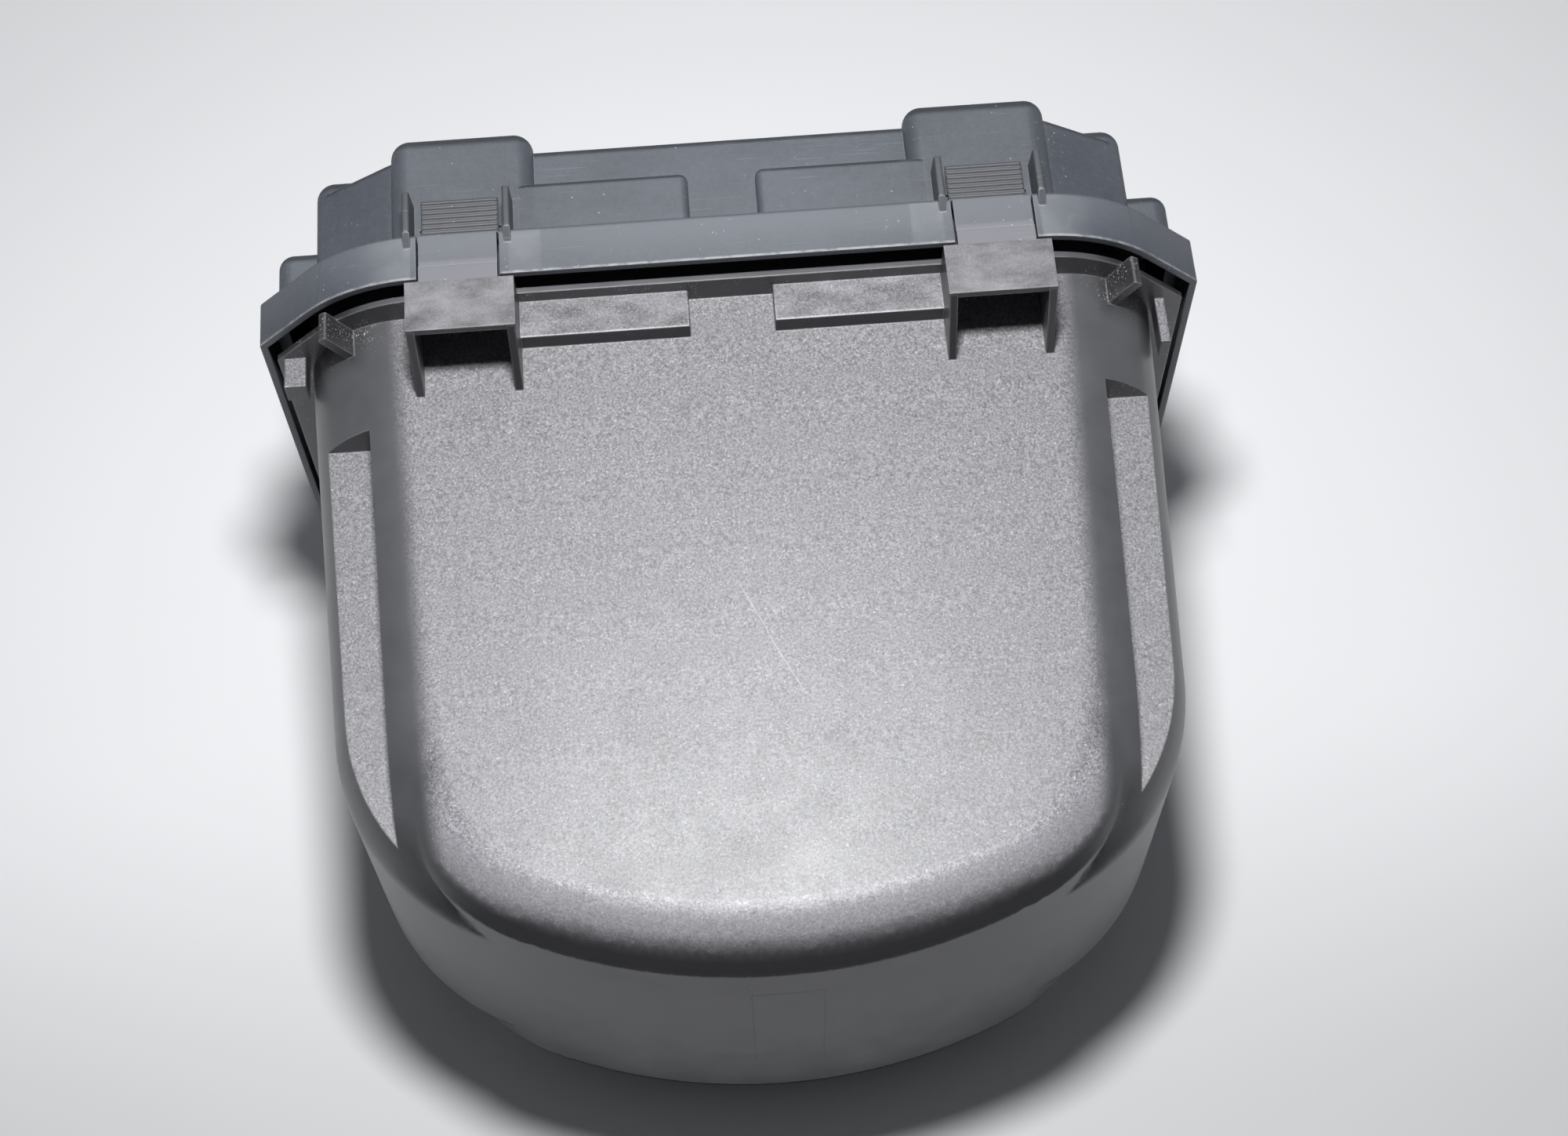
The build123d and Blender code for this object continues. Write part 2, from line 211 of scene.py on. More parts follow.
# tub: spark-eroded broad faces, smooth sides and closed end
# each pair of stops says where a zone starts and is full, and a second pair what it goes
# from and to; lengths in mm in the drawing frame, turns as a share of the normal
# each noise has its scale, detail and roughness, each grain of dust its scale and radius
tubFinish = {
    "sideColour": (0.082, 0.083, 0.088, 1),
    "paintedShadeColour": (0.012, 0.012, 0.014, 1),
    "endColour": (0.024, 0.024, 0.026, 1),
    "endPaintedBounceColour": (0.255, 0.255, 0.260, 1),
    "endSideColour": (0.115, 0.116, 0.120, 1),
    "rimHighlightColour": (0.34, 0.34, 0.35, 1),
    "grainColour": (0.175, 0.173, 0.185, 1),
    "scratchColour": (0.60, 0.60, 0.62, 1),
    "smudgeColour": (0.10, 0.10, 0.11, 1),
    "dustColour": (0.55, 0.54, 0.52, 1),
    "wearAndGlintColour": (0.46, 0.46, 0.48, 1),
    "smoothRoughness": 0.40,
    "grainRoughness": 0.46,
    "endRoughness": 0.42,
    "bandRoughness": 0.80,
    "roughnessSway": 0.10,
    "gloss": 0.95,
    "ior": 1.50,
    "edgeRadius": 0.0008,     # m
    "wearAndGlintNoise": (0.09, 3.0),
    "wearAndGlintPatches": (0.35, 0.6, 0.35, 1.0),
    "wearAndGlintShare": 0.50,
    # where the grain lies
    "sideWidth": 131.6,       # half width of the tub at the collar
    "sideDraft": 2.9,         # degrees
    "grainStops": (26.0, 33.0),
    "padDepth": (78.6, 79.2),
    "padEnd": (98.5, 97.5),
    "rebateDepth": (66.5, 65.5),
    "rebateStart": (100.0, 102.0),
    "rebateFlat": (0.985, 0.995),
    "blockStart": (131.6, 132.2),
    "blockFoot": (-22.0, -21.0),
    "grainTurn": (0.44, 0.74),
    "collarPlane": (0.15, -0.05),
    # the grain itself: the scale of its noises goes by its size
    "grainSize": 0.74,
    "grainDepth": 0.00003,    # m
    "fineNoise": (1.0, 2.0, 0.65),
    "fineShare": 2.94,
    "coarseNoise": (0.42, 2.0, 0.6),
    "coarseShare": 0.70,
    "cloudStretch": (1.0, 1.0, 0.55),
    "cloudNoise": (0.030, 4.0, 0.6),
    "cloudShare": 0.14,
    "sparkleNoise": (1.25, 1.0),
    "sparkleShare": 1.10,
    "sparkleStops": (0.60, 0.74),
    "plateDepth": (86.0, 90.0),
    "plateCalm": 0.65,
    "plateTone": 0.78,
    "padCalm": 0.30,
    "padTone": 1.02,
    "padStretch": (0.7, 1.0, 1.4),
    "padNoise": (0.13, 3.0, 0.55),
    "padSheen": 2.0,
    "bendCalm": (-0.06, -0.40, 0.0, 0.62),
    "bendPaintedHighlight": (-0.03, -0.21, 1.0, 1.85),
    "bendPaintedShade": (-0.52, -0.84, 1.0, 0.25),
    # smooth sides and closed end
    "blotchNoise": (0.075, 3.0, 0.55),
    "blotchShare": 0.5,
    "cornerTurn": (-0.35, -0.62),
    "cornerFade": (75.0, 112.0, 1.0, 0.45),
    "shadeHeight": (-17.0, -4.0),
    "shadeSide": (0.97, 0.85),
    "shadeTurn": (-0.70, -0.40),
    "shadeShare": 0.75,
    "endHeight": (-65.0, 75.0),
    "endSide": (45.0, 108.0, 0.0, 0.50),
    "endReach": (75.0, 105.0, 0.12, 0.38),
    "endFull": 0.03,
    "endTurn": (-0.30, -0.60),
    "rimStart": (0.04, 0.10),
    "rimEnd": (0.40, 0.18),
    "rimHeight": (58.0, 66.0),
    "rimTurn": (-0.30, -0.55),
    "rimHighlightShare": 0.55,
    "bandTurn": (-0.55, -0.80),
    # marks on the front face: start, end and width of each line
    "frontDepth": (-60.0, -70.0),
    "frontTurn": (0.9, 0.98),
    "wanderNoise": (0.06, 3.0),
    "wander": 3.0,
    "scratches": (((-3.6, -95.7), (4.1, -113.5), 0.24), ((4.1, -113.5), (12.8, -131.1), 0.24)),
    "hairlines": (((30.0, -84.0), (44.0, -101.0), 0.20), ((-52.0, -60.0), (-46.0, -92.0), 0.20)),
    "hairShare": 0.35,
    "scratchShare": 0.45,
    "flowLine": ((1.7, -62.0), (-1.2, -197.0), 1.3),
    "flowShare": 0.10,
    "smudge": ((-43.0, -178.4), (-38.0, -177.2), 3.0),
    "smudgeShare": 0.22,
    # dust
    "dustHeight": (-16.0, -1.0),
    "dustTop": (2.9, 2.2),
    "dustTurn": (0.995, 0.90),
    "rebateTopTurn": (-0.8, -0.95),
    "rebateTopStart": (104.0, 106.0),
    "dustNoise": (0.11, 3.0),
    "dustPatches": (0.47, 0.66),
    "coarseDust": (1.15, 0.32),
    "fineDust": (2.1, 0.30),
    "dustShare": 0.8,
    "loneTurn": (0, 0, 31),   # degrees
    "loneDust": (0.11, 0.030),
    "loneShare": 0.5,
    # relief
    "drawStretch": (0.55, 0.55, 0.02),
    "drawNoise": (1.0, 2.0),
    "drawShare": 0.35,
    "insertTurn": (-0.75, -0.92),
    "insertCorners": ((-9.0, -38.0), (-9.0, 28.0), (11.8, 28.0), (11.8, -38.0)),
    "insertWidth": 0.30,
    "insertDepth": 0.0001,    # m
}


def tubZones(maker, at):
    f = tubFinish

    def zone(value, name):
        return maker.ramp(value, *f[name])

    # grain lies on the flat of the broad faces and runs a little into the end rounding
    sideRun = maker.math("MULTIPLY_ADD", at.z, math.tan(math.radians(f["sideDraft"])),
                         f["sideWidth"])
    flat = zone(maker.math("SUBTRACT", sideRun, at.absX), "grainStops")
    proud = maker.product(zone(at.absY, "padDepth"), zone(at.absX, "padEnd"))
    rebateFloor = maker.product(zone(at.absY, "rebateDepth"), zone(at.absX, "rebateStart"),
                                zone(at.outward, "rebateFlat"))
    stopBlock = maker.product(zone(at.absX, "blockStart"), zone(at.z, "blockFoot"))
    grained = maker.product(maker.largest(flat, proud, rebateFloor, stopBlock),
                            zone(at.outward, "grainTurn"), zone(at.z, "collarPlane"))
    endWall = maker.product(
        maker.ramp(at.outward, zone(at.absX, "endReach"), f["endFull"]), zone(at.nz, "endTurn"))
    return proud, grained, endWall


def tubGrain(maker, at, proud):
    # three sizes of grain, read in the drawing frame
    f = tubFinish

    def grainNoise(name):
        scale, *others = f[name]
        return maker.noise(at.place, scale / f["grainSize"], *others)

    fine = grainNoise("fineNoise")
    coarse = grainNoise("coarseNoise")
    sparkle = maker.ramp(grainNoise("sparkleNoise"), *f["sparkleStops"])
    cloudy = maker.noise(maker.stretched(at.place, f["cloudStretch"]), *f["cloudNoise"])
    tone = maker.sway(fine, f["fineShare"], 1.0)
    tone = maker.sway(cloudy, f["cloudShare"], tone)
    tone = maker.sway(coarse, f["coarseShare"], tone)
    tone = maker.math("MULTIPLY_ADD", sparkle, f["sparkleShare"], tone)

    # calmer on the latch plates and the pads, and round the bend to the closed end
    onPlate = maker.ramp(at.absY, *f["plateDepth"])
    tone = maker.mixNumber(maker.product(onPlate, f["plateCalm"]), tone, f["plateTone"])
    uneven = maker.noise(maker.stretched(at.place, f["padStretch"]), *f["padNoise"])
    sheen = maker.product(maker.math("SUBTRACT", uneven, 0.5), proud)
    tone = maker.mixNumber(maker.product(proud, f["padCalm"]), tone, f["padTone"])
    tone = maker.math("MULTIPLY_ADD", sheen, f["padSheen"], tone)
    tone = maker.mixNumber(maker.ramp(at.nz, *f["bendCalm"]), tone, 1.0)
    # painted highlight where the face starts to round over to the closed end, and painted shade
    # further round that bend
    tone = maker.product(tone, maker.ramp(at.nz, *f["bendPaintedHighlight"]),
                         maker.ramp(at.nz, *f["bendPaintedShade"]))
    return fine, maker.shade(f["grainColour"], tone)


def tubSmooth(maker, at, blotch, endWall):
    f = tubFinish

    def zone(value, name):
        return maker.ramp(value, *f[name])

    # painted shade: a dark band where the sides round over to the closed end, weaker toward the
    # sides, and painted shade under the collar
    shadedBand = maker.product(zone(at.nz, "cornerTurn"), zone(at.absX, "cornerFade"))
    smooth = maker.mixColour(shadedBand, f["sideColour"], f["paintedShadeColour"])
    underShade = maker.product(zone(at.z, "shadeHeight"), zone(at.outward, "shadeSide"),
                               zone(at.nz, "shadeTurn"))
    smooth = maker.layOver(underShade, f["shadeShare"], smooth, f["paintedShadeColour"])
    # painted light: the closed end goes from dark at its top to much lighter at its lower edge,
    # standing in for light bounced up from the table, and blends toward a middle grey at its
    # sides
    end = maker.mixColour(zone(at.y, "endHeight"), f["endColour"], f["endPaintedBounceColour"])
    end = maker.mixColour(zone(at.absX, "endSide"), end, f["endSideColour"])
    smooth = maker.mixColour(endWall, smooth, end)
    # painted highlight: a pale line along the lower rim of the closed end
    rimHighlight = maker.product(zone(at.outward, "rimStart"), zone(at.outward, "rimEnd"),
                           zone(at.y, "rimHeight"), zone(at.nz, "rimTurn"))
    smooth = maker.layOver(rimHighlight, f["rimHighlightShare"], smooth, f["rimHighlightColour"])
    return maker.shade(smooth, maker.sway(blotch, f["blotchShare"], 1.0))


def tubMarks(maker, at, colour):
    # on the front face: a long scratch, fine hairlines, a flow line and a smudge
    f = tubFinish
    frontOnly = maker.product(maker.ramp(at.y, *f["frontDepth"]),
                              maker.ramp(at.outward, *f["frontTurn"]))
    wander = maker.product(
        maker.math("SUBTRACT", maker.noise(at.place, *f["wanderNoise"]), 0.5), f["wander"])
    acrossFace = maker.math("ADD", at.x, wander)
    scratch = maker.strokes(acrossFace, at.z, f["scratches"])
    hair = maker.product(maker.strokes(acrossFace, at.z, f["hairlines"]), f["hairShare"])
    pale = maker.product(maker.largest(scratch, hair), frontOnly)
    colour = maker.layOver(pale, f["scratchShare"], colour, f["scratchColour"])
    flow = maker.product(maker.stroke(at.x, at.z, *f["flowLine"]), f["flowShare"])
    smudge = maker.product(maker.stroke(at.x, at.z, *f["smudge"]), f["smudgeShare"])
    dark = maker.product(maker.math("ADD", flow, smudge), frontOnly)
    return maker.mixColour(dark, colour, f["smudgeColour"])


def tubDust(maker, at, colour):
    # under the collar, in the tops of the rebates, and a few lone grains anywhere
    f = tubFinish
    underCollar = maker.product(maker.ramp(at.z, *f["dustHeight"]),
                                maker.ramp(at.z, *f["dustTop"]),
                                maker.ramp(at.outward, *f["dustTurn"]))
    rebateTop = maker.product(maker.ramp(at.nz, *f["rebateTopTurn"]),
                              maker.ramp(at.absX, *f["rebateTopStart"]))
    grains = maker.largest(maker.specks(at.place, *f["coarseDust"]),
                           maker.specks(at.place, *f["fineDust"]))
    patchy = maker.ramp(maker.noise(at.place, *f["dustNoise"]), *f["dustPatches"])
    dust = maker.product(grains, maker.largest(underCollar, rebateTop), patchy, f["dustShare"])
    turned = maker.stretched(at.place, (1, 1, 1), f["loneTurn"])
    lone = maker.product(maker.specks(turned, *f["loneDust"]), f["loneShare"])
    return maker.mixColour(maker.largest(dust, lone), colour, f["dustColour"])


def tubRelief(maker, at, grained, fine, soft):
    # grain on the faces, faint draw lines on the sides, insert outline on the end wall
    f = tubFinish
    drawn = maker.noise(maker.stretched(at.place, f["drawStretch"]), *f["drawNoise"])
    relief = maker.mixNumber(grained, maker.product(drawn, f["drawShare"]), fine)
    normal = maker.bump(relief, f["grainDepth"], soft)
    corners = f["insertCorners"]
    outline = [(start, end, f["insertWidth"])
               for start, end in zip(corners, corners[1:] + corners[:1])]
    insert = maker.product(maker.strokes(at.x, at.y, outline),
                           maker.ramp(at.nz, *f["insertTurn"]))
    return maker.bump(insert, f["insertDepth"], normal)


def tubMaterial():
    f = tubFinish
    material, maker, shader = newMaterial("tubPlastic")
    at = DrawingSpace(maker)
    proud, grained, endWall = tubZones(maker, at)
    soft, glint = edgeGlint(maker, f["edgeRadius"])
    # painted highlight along crisp edges, partly real edge wear, paler in patches
    wearAndGlint = maker.product(
        glint, maker.ramp(maker.noise(at.place, *f["wearAndGlintNoise"]), *f["wearAndGlintPatches"]))
    blotch = maker.noise(at.place, *f["blotchNoise"])
    fine, grain = tubGrain(maker, at, proud)
    colour = maker.mixColour(grained, tubSmooth(maker, at, blotch, endWall), grain)
    colour = tubMarks(maker, at, colour)
    colour = tubDust(maker, at, colour)
    colour = maker.layOver(wearAndGlint, f["wearAndGlintShare"], colour, f["wearAndGlintColour"])

    rough = maker.mixNumber(grained, f["smoothRoughness"], f["grainRoughness"])
    band = maker.product(maker.ramp(at.nz, *f["bandTurn"]),
                         maker.math("SUBTRACT", 1.0, grained))
    rough = maker.mixNumber(band, rough, f["bandRoughness"])
    rough = maker.mixNumber(endWall, rough, f["endRoughness"])
    rough = maker.sway(blotch, f["roughnessSway"], rough)

    maker.plug(shader.inputs["Base Color"], colour)
    maker.plug(shader.inputs["Roughness"], rough)
    maker.plug(shader.inputs["Normal"], tubRelief(maker, at, grained, fine, soft))
    shader.inputs["Specular IOR Level"].default_value = f["gloss"]
    shader.inputs["IOR"].default_value = f["ior"]
    return material


# lid: smooth blue-grey moulding with handling marks; stops as on the tub
lidFinish = {
    "colour": (0.062, 0.071, 0.088, 1),
    "tongueColour": (0.146, 0.148, 0.166, 1),
    "ribShadeColour": (0.030, 0.031, 0.036, 1),
    "crestHighlightColour": (0.20, 0.205, 0.22, 1),
    "finShadeColour": (0.022, 0.024, 0.028, 1),
    "stepHighlightColour": (0.50, 0.51, 0.53, 1),
    "skirtSheenColour": (0.124, 0.134, 0.154, 1),
    "lipHighlightColour": (0.44, 0.45, 0.47, 1),
    "patchSheenColour": (0.36, 0.37, 0.39, 1),
    "weldColour": (0.045, 0.047, 0.052, 1),
    "scratchColour": (0.42, 0.43, 0.45, 1),
    "dustColour": (0.50, 0.49, 0.47, 1),
    "wearAndGlintColour": (0.42, 0.43, 0.46, 1),
    "roughness": 0.56,
    "roughnessSway": 0.22,
    "gloss": 0.95,
    "ior": 1.60,
    "edgeRadius": 0.0007,     # m
    "reliefDepth": 0.000012,  # m
    # the plain moulding
    "cloudStretch": (0.6, 1.0, 1.0),
    "cloudNoise": (0.040, 4.0, 0.6),
    "cloudShare": 0.55,
    "fineNoise": (0.9, 3.0, 0.6),
    "fineShare": 0.55,
    "blotchNoise": (0.30, 3.0, 0.6),
    "blotchShare": 0.30,
    "domeStart": (56.0, 60.0),
    "domeEnd": (106.0, 100.0),
    "domeFoot": (24.0, 32.0),
    "domeDarker": -0.13,
    "bendStart": (0.06, 0.36),
    "bendEnd": (0.96, 0.80),
    "topBendShade": -0.55,
    # latch tongues, thumb ribs and guard fins
    "tongueX": 80.8,          # middle of a latch tongue
    "tongueSide": (12.2, 11.8),
    "tongueTop": (24.0, 22.0),
    "tongueFade": (9.4, 11.0, 0.97, 0.25),
    "ribLowZ": 25.4,
    "ribPitch": 1.8,
    "ribFoot": (24.8, 25.4),
    "ribTop": (38.4, 37.8),
    "crestWidth": (0.30, 0.08),
    "ribShadeShare": 0.75,
    "crestHighlightShare": 0.17,
    "finOffset": 15.1,
    "finSide": (1.5, 1.2),
    "finFoot": (18.7, 19.2),
    "finTop": (34.2, 33.6),
    "finShadeShare": 0.60,
    "heelFoot": (14.0, 14.5),
    "heelDepth": (92.85, 93.05),
    "stepZ": 8.3,
    "stepWidth": (0.50, 0.15),
    "stepTurn": (0.2, 0.6),
    "stepHighlightShare": 0.65,
    # skirt
    "skirtFoot": (3.0, 4.5),
    "skirtTop": (24.0, 19.5),
    "skirtRise": (5.0, 18.0, 0.10, 0.62),
    "skirtTurn": (0.30, 0.995, 0.60, 1.0),
    "lipHeight": (5.3, 4.7),
    "lipTurn": (0.15, 0.45),
    "lipNoise": (0.35, 3.0),
    "lipPatches": (0.32, 0.62, 0.15, 1.0),
    "lipGap": (12.4, 12.8),
    "lipHighlightShare": 0.55,
    "patchFoot": (3.0, 5.0),
    "patchTop": (20.5, 19.0),
    "innerStart": (55.3, 56.3),
    "innerEnd": (66.0, 65.0),
    "outerStart": (94.6, 95.4),
    "outerEnd": (116.0, 102.0),
    "patchNoise": (0.10, 3.0),
    "patchUneven": (0.30, 0.70, 0.45, 1.25),
    "patchTurn": (0.9, 0.99),
    "patchSheenShare": 0.16,
    # marks: start, end and width of each weld line, turn and share of each scratch
    "weldLines": (((123.3, 22.0), (124.6, 5.0), 0.35),
                  ((92.6, 40.0), (91.4, 60.0), 0.22),
                  ((66.9, 40.0), (66.4, 60.0), 0.22)),
    "weldTurn": (0.1, 0.4),
    "weldShare": 0.35,
    "scratchTurns": (((0, 12, 0), 0.5), ((0, 64, 0), 0.4), ((0, -38, 0), 0.45)),
    "scratchStretch": (0.035, 0.4, 2.3),
    "scratchNoise": (1.0, 1.0),
    "scratchStops": (0.735, 0.765),
    "scratchShare": 0.32,
    "scratchRougher": 0.12,
    "scratchDepth": -0.6,
    "looseDust": (0.16, 0.045),
    "nearDust": (0.5, 0.16),
    "dustNoise": (0.07, 3.0),
    "dustPatches": (0.50, 0.66),
    "dustShare": 0.55,
    "wearAndGlintTurn": (0.60, 0.20, 0.15, 1.0),
    "wearAndGlintOnRibs": -0.9,
    "wearAndGlintShare": 0.46,
}


def lidBody(maker, at, cloudy, fine):
    # a little darker on the domes over the latches, and painted shade on the bends to the top
    f = lidFinish
    tone = maker.sway(cloudy, f["cloudShare"], 1.0)
    tone = maker.sway(fine, f["fineShare"], tone)
    tone = maker.sway(maker.noise(at.place, *f["blotchNoise"]), f["blotchShare"], tone)
    dome = maker.product(maker.ramp(at.absX, *f["domeStart"]), maker.ramp(at.absX, *f["domeEnd"]),
                         maker.ramp(at.z, *f["domeFoot"]))
    tone = maker.math("MULTIPLY_ADD", dome, f["domeDarker"], tone)
    shadedTopBend = maker.product(maker.ramp(at.nz, *f["bendStart"]), maker.ramp(at.nz, *f["bendEnd"]))
    tone = maker.product(tone, maker.math("MULTIPLY_ADD", shadedTopBend, f["topBendShade"], 1.0))
    return maker.shade(f["colour"], tone)


def lidLatches(maker, at, acrossTongue, colour):
    f = lidFinish

    def zone(value, name):
        return maker.ramp(value, *f[name])

    # the tongues are paler below their shoulders, most of all from the step down
    onTongue = zone(acrossTongue, "tongueSide")
    lower = maker.product(onTongue, zone(at.z, "tongueTop"), zone(at.z, "tongueFade"))
    colour = maker.mixColour(lower, colour, f["tongueColour"])

    # painted shade between the thumb ribs, and a painted highlight along each rib's crest
    ribbed = maker.product(onTongue, zone(at.z, "ribFoot"), zone(at.z, "ribTop"))
    colour = maker.layOver(ribbed, f["ribShadeShare"], colour, f["ribShadeColour"])
    ridge = maker.math("FRACT", maker.product(
        maker.math("SUBTRACT", at.z, f["ribLowZ"]), 1.0 / f["ribPitch"]))
    crestHighlight = maker.product(zone(maker.distance(ridge, 0.5), "crestWidth"), ribbed)
    colour = maker.layOver(crestHighlight, f["crestHighlightShare"], colour, f["crestHighlightColour"])

    # painted shade on the guard fins, from the skirt's top up, and on their heels in front of the
    # skirt
    heel = maker.product(zone(at.z, "heelFoot"), zone(at.absY, "heelDepth"))
    fin = maker.product(zone(maker.distance(acrossTongue, f["finOffset"]), "finSide"),
                        maker.largest(heel, zone(at.z, "finFoot")), zone(at.z, "finTop"))
    colour = maker.layOver(fin, f["finShadeShare"], colour, f["finShadeColour"])
    # painted highlight: a pale line along the step on each tongue
    stepHighlight = maker.product(zone(maker.distance(at.z, f["stepZ"]), "stepWidth"), onTongue,
                             zone(at.outward, "stepTurn"))
    colour = maker.layOver(stepHighlight, f["stepHighlightShare"], colour, f["stepHighlightColour"])
    return ribbed, fin, colour


def lidSkirt(maker, at, acrossTongue, fin, colour):
    f = lidFinish

    def zone(value, name):
        return maker.ramp(value, *f[name])

    # painted sheen, brightest under the top bend, with a painted highlight as a pale line along
    # the lower edge
    skirtSheen = maker.product(zone(at.z, "skirtFoot"), zone(at.z, "skirtTop"),
                         zone(at.z, "skirtRise"), zone(at.outward, "skirtTurn"),
                         maker.math("SUBTRACT", 1.0, fin))
    colour = maker.mixColour(skirtSheen, colour, f["skirtSheenColour"])
    lipHighlight = maker.product(zone(at.z, "lipHeight"), zone(at.outward, "lipTurn"),
                        zone(maker.noise(at.place, *f["lipNoise"]), "lipPatches"),
                        zone(acrossTongue, "lipGap"))
    colour = maker.layOver(lipHighlight, f["lipHighlightShare"], colour, f["lipHighlightColour"])

    # painted sheen: paler patches on both sides of each latch
    inner = maker.product(zone(at.absX, "innerStart"), zone(at.absX, "innerEnd"))
    outer = maker.product(zone(at.absX, "outerStart"), zone(at.absX, "outerEnd"))
    patchSheen = maker.product(zone(at.z, "patchFoot"), zone(at.z, "patchTop"),
                          maker.largest(inner, outer),
                          zone(maker.noise(at.place, *f["patchNoise"]), "patchUneven"),
                          zone(at.outward, "patchTurn"))
    return maker.layOver(patchSheen, f["patchSheenShare"], colour, f["patchSheenColour"])


def lidMarks(maker, at, colour):
    # weld lines on the skirt's rounded ends, draw lines beside the domes, fine scratches
    f = lidFinish
    weld = maker.product(maker.strokes(at.absX, at.z, f["weldLines"]),
                         maker.ramp(at.outward, *f["weldTurn"]))
    colour = maker.layOver(weld, f["weldShare"], colour, f["weldColour"])
    lines = []
    for turn, share in f["scratchTurns"]:
        drawn = maker.stretched(at.place, f["scratchStretch"], turn)
        lane = maker.noise(drawn, *f["scratchNoise"])
        lines.append(maker.product(maker.ramp(lane, *f["scratchStops"]), share))
    marks = maker.largest(*lines)
    return marks, maker.layOver(marks, f["scratchShare"], colour, f["scratchColour"])


def lidMaterial():
    f = lidFinish
    material, maker, shader = newMaterial("lidPlastic")
    at = DrawingSpace(maker)
    soft, glint = edgeGlint(maker, f["edgeRadius"])
    cloudy = maker.noise(maker.stretched(at.place, f["cloudStretch"]), *f["cloudNoise"])
    fine = maker.noise(at.place, *f["fineNoise"])
    acrossTongue = maker.distance(at.absX, f["tongueX"])
    colour = lidBody(maker, at, cloudy, fine)
    ribbed, fin, colour = lidLatches(maker, at, acrossTongue, colour)
    colour = lidSkirt(maker, at, acrossTongue, fin, colour)
    marks, colour = lidMarks(maker, at, colour)

    # loose dust, and more of it in patches
    near = maker.product(maker.specks(at.place, *f["nearDust"]),
                         maker.ramp(maker.noise(at.place, *f["dustNoise"]), *f["dustPatches"]))
    dust = maker.largest(maker.specks(at.place, *f["looseDust"]), near)
    colour = maker.layOver(dust, f["dustShare"], colour, f["dustColour"])
    # painted highlight along crisp edges, partly real edge wear; less on edges facing up and on
    # the thumb ribs
    wearAndGlint = maker.product(glint, maker.ramp(at.nz, *f["wearAndGlintTurn"]),
                         maker.math("MULTIPLY_ADD", ribbed, f["wearAndGlintOnRibs"], 1.0))
    colour = maker.layOver(wearAndGlint, f["wearAndGlintShare"], colour, f["wearAndGlintColour"])

    rough = maker.sway(cloudy, f["roughnessSway"], f["roughness"])
    rough = maker.math("MULTIPLY_ADD", marks, f["scratchRougher"], rough)
    relief = maker.math("ADD", fine, maker.product(marks, f["scratchDepth"]))
    maker.plug(shader.inputs["Base Color"], colour)
    maker.plug(shader.inputs["Roughness"], rough)
    maker.plug(shader.inputs["Normal"], maker.bump(relief, f["reliefDepth"], soft))
    shader.inputs["Specular IOR Level"].default_value = f["gloss"]
    shader.inputs["IOR"].default_value = f["ior"]
    return material


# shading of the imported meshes: rounded where the moulding is, crisp at its edges
shadingRule = {
    "joinWithin": 0.00001,    # m
    "crispAbove": 28.0,       # degrees
    "flatWeight": 100,
}


def shadingTree():
    tree = bpy.data.node_groups.new("mouldingShading", "GeometryNodeTree")
    sockets = tree.interface
    sockets.new_socket("Geometry", in_out="INPUT", socket_type="NodeSocketGeometry")
    join = sockets.new_socket("Join within", in_out="INPUT", socket_type="NodeSocketFloat")
    crisp = sockets.new_socket("Crisp above", in_out="INPUT", socket_type="NodeSocketFloat")
    sockets.new_socket("Geometry", in_out="OUTPUT", socket_type="NodeSocketGeometry")
    maker = Maker(tree)
    start = maker.node("NodeGroupInput")
    merge = maker.node("GeometryNodeMergeByDistance")
    maker.plug(merge.inputs["Geometry"], start.outputs[0])
    maker.plug(merge.inputs["Distance"], start.outputs[1])
    angle = maker.node("GeometryNodeInputMeshEdgeAngle").outputs["Unsigned Angle"]
    edges = maker.node("GeometryNodeSetShadeSmooth", domain="EDGE")
    maker.plug(edges.inputs["Geometry"], merge.outputs[0])
    maker.plug(edges.inputs["Shade Smooth"], maker.math("LESS_THAN", angle, start.outputs[2]))
    faces = maker.node("GeometryNodeSetShadeSmooth", domain="FACE")
    maker.plug(faces.inputs["Geometry"], edges.outputs[0])
    end = maker.node("NodeGroupOutput")
    maker.plug(end.inputs[0], faces.outputs[0])
    return tree, join.identifier, crisp.identifier


shading, joinSocket, crispSocket = shadingTree()
for name, finish in (("tub", tubMaterial()), ("lid", lidMaterial())):
    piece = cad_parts[name]
    for slot in piece.material_slots:
        slot.material = finish
    if not piece.material_slots:
        piece.data.materials.append(finish)
    rounding = piece.modifiers.new("shading", "NODES")
    rounding.node_group = shading
    rounding[joinSocket] = shadingRule["joinWithin"]
    rounding[crispSocket] = math.radians(shadingRule["crispAbove"])
    weighted = piece.modifiers.new("weighted", "WEIGHTED_NORMAL")
    weighted.keep_sharp = True
    weighted.weight = shadingRule["flatWeight"]
    print("finished:", name)


# table, light and camera
tableTop = {
    "half": 3.0,              # m
    "colour": (0.955, 0.960, 0.970, 1),
    "roughness": 0.55,
    "wearNoise": (6.0, 4.0, 0.6),
    "wear": 0.03,
    "frontShade": (0.03, -0.15, 1.0, 0.79),     # m along Y, then the tone
    "fade": (0.45, 0.95),     # m from the middle
    "backdrop": (0.74, 0.745, 0.755, 1),
}


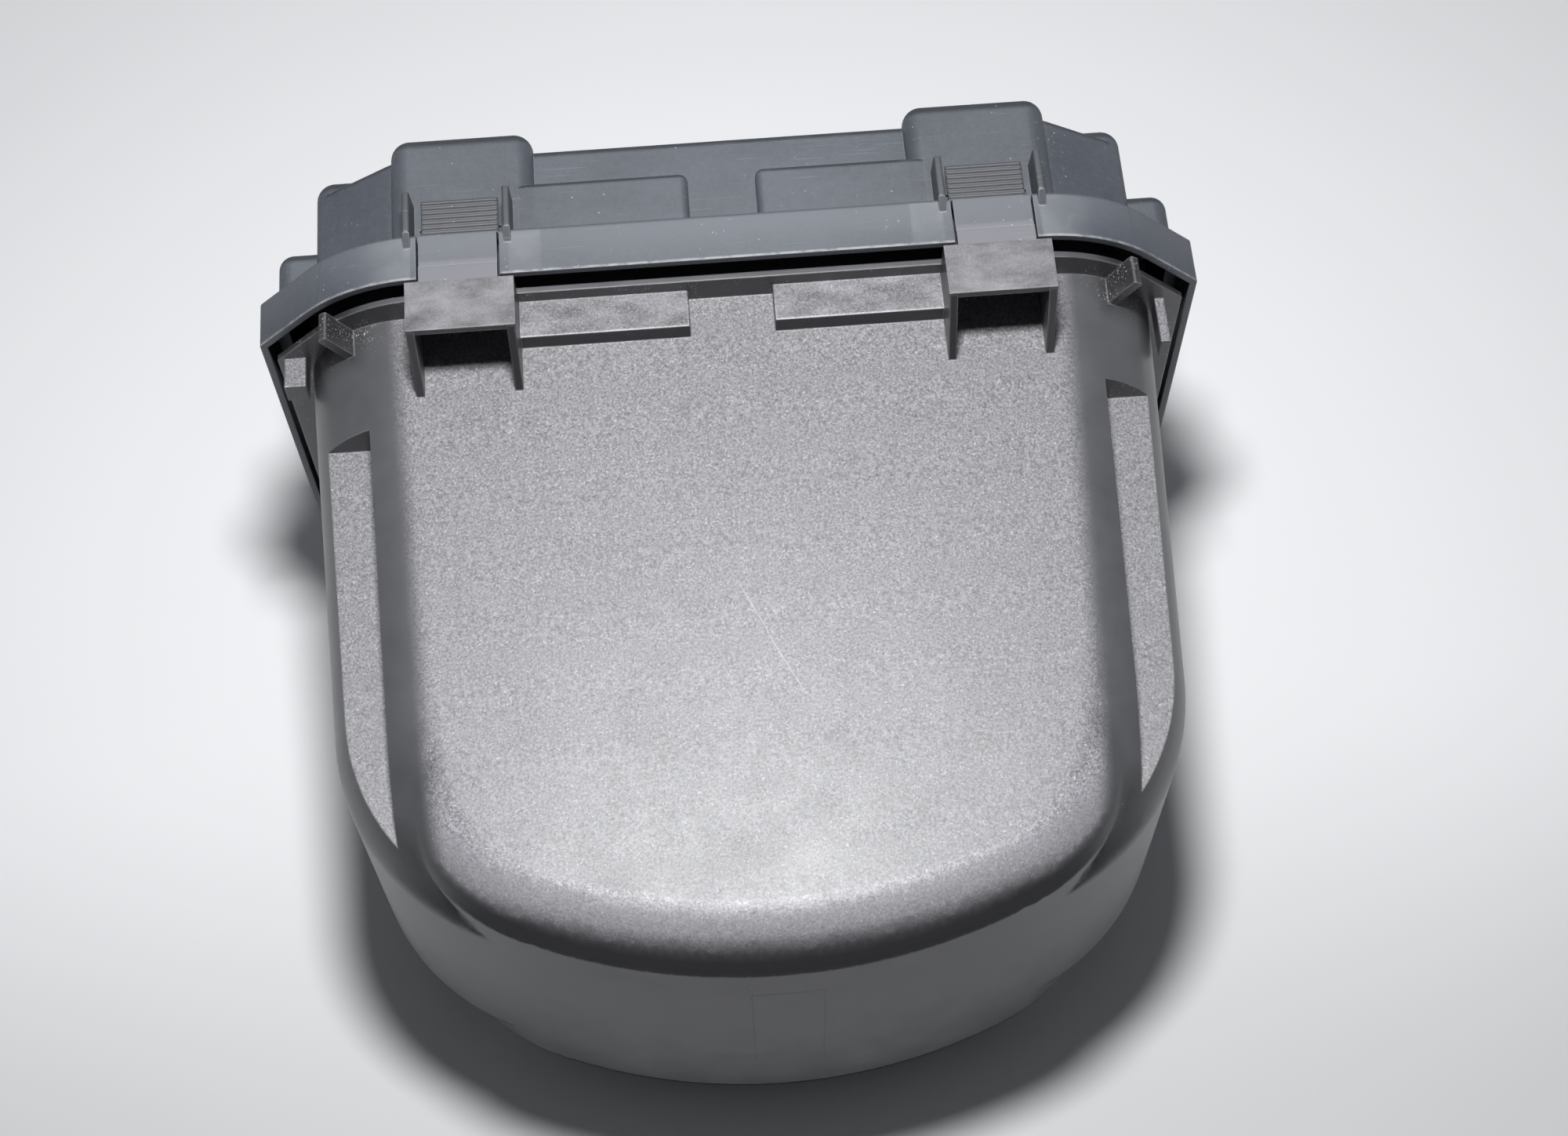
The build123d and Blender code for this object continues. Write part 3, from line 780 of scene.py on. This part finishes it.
def makeTable():
    half = tableTop["half"]
    mesh = bpy.data.meshes.new("table")
    mesh.from_pydata([(-half, -half, 0), (half, -half, 0), (half, half, 0), (-half, half, 0)],
                     [], [(0, 1, 2, 3)])
    table = bpy.data.objects.new("table", mesh)
    bpy.context.scene.collection.objects.link(table)
    material, maker, shader = newMaterial("paleTable")
    output = shader.outputs[0].links[0].to_node
    place = maker.node("ShaderNodeTexCoord").outputs["Object"]
    tone = maker.sway(maker.noise(place, *tableTop["wearNoise"]), tableTop["wear"], 1.0)
    tone = maker.product(tone, maker.ramp(maker.separate(place)[1], *tableTop["frontShade"]))
    maker.plug(shader.inputs["Base Color"], maker.shade(tableTop["colour"], tone))
    shader.inputs["Roughness"].default_value = tableTop["roughness"]

    # far from the object the table runs out into an even pale backdrop
    away = maker.node("ShaderNodeVectorMath", operation="LENGTH")
    maker.plug(away.inputs[0], place)
    seen = maker.node("ShaderNodeLightPath").outputs["Is Camera Ray"]
    backdrop = maker.node("ShaderNodeEmission")
    backdrop.inputs["Color"].default_value = tableTop["backdrop"]
    blend = maker.node("ShaderNodeMixShader")
    maker.plug(blend.inputs[0], maker.product(
        maker.ramp(away.outputs["Value"], *tableTop["fade"]), seen))
    maker.plug(blend.inputs[1], shader.outputs[0])
    maker.plug(blend.inputs[2], backdrop.outputs[0])
    maker.plug(output.inputs[0], blend.outputs[0])
    mesh.materials.append(material)


makeTable()

lampSetting = {
    "place": (-0.005, -0.125, 0.860),           # m
    "aim": (0.015, 0.700, 0.150),
    "size": 0.14,
    "power": 9.1,
    "colour": (0.985, 0.99, 1.0),
    "skyLow": (0.34, 0.35, 0.37, 1),
    "skyHigh": (0.10, 0.104, 0.11, 1),
    "skyRise": (0.08, 0.42),
    "skyFront": (-0.20, -0.80, 1.0, 0.45),      # the last is the share from the viewer's side
}

lampData = bpy.data.lights.new("softLamp", "AREA")
lampData.shape = "DISK"
lampData.size = lampSetting["size"]
lampData.energy = lampSetting["power"]
lampData.color = lampSetting["colour"]
lamp = bpy.data.objects.new("softLamp", lampData)
lamp.location = lampSetting["place"]
aim = Vector(lampSetting["aim"]) - Vector(lampSetting["place"])
lamp.rotation_euler = aim.to_track_quat("-Z", "Y").to_euler()
bpy.context.scene.collection.objects.link(lamp)

world = bpy.data.worlds.new("room")
world.use_nodes = True
world.node_tree.nodes.clear()
sky = Maker(world.node_tree)
direction = sky.separate(sky.node("ShaderNodeTexCoord").outputs["Generated"])
gradient = sky.mixColour(sky.ramp(direction[2], *lampSetting["skyRise"]),
                         lampSetting["skyLow"], lampSetting["skyHigh"])
gradient = sky.shade(gradient, sky.ramp(direction[1], *lampSetting["skyFront"]))
seen = sky.node("ShaderNodeLightPath").outputs["Is Camera Ray"]
background = sky.node("ShaderNodeBackground")
sky.plug(background.inputs["Color"], sky.mixColour(seen, gradient, tableTop["backdrop"]))
sky.plug(sky.node("ShaderNodeOutputWorld").inputs[0], background.outputs[0])
bpy.context.scene.world = world

cameraSetting = {
    "place": (-0.01149, -0.48250, 0.76034),     # m
    "turn": (36.7538, 1.2117, -4.2728),         # degrees about X, Y, Z
    "lens": 59.4,                               # mm
    "sensor": 36.0,
}
cameraData = bpy.data.cameras.new("camera")
cameraData.lens = cameraSetting["lens"]
cameraData.sensor_width = cameraSetting["sensor"]
camera = bpy.data.objects.new("camera", cameraData)
camera.location = cameraSetting["place"]
camera.rotation_euler = [math.radians(a) for a in cameraSetting["turn"]]
bpy.context.scene.collection.objects.link(camera)
bpy.context.scene.camera = camera
bpy.context.scene.view_settings.view_transform = "Standard"
print("table, lamp, room and camera placed")
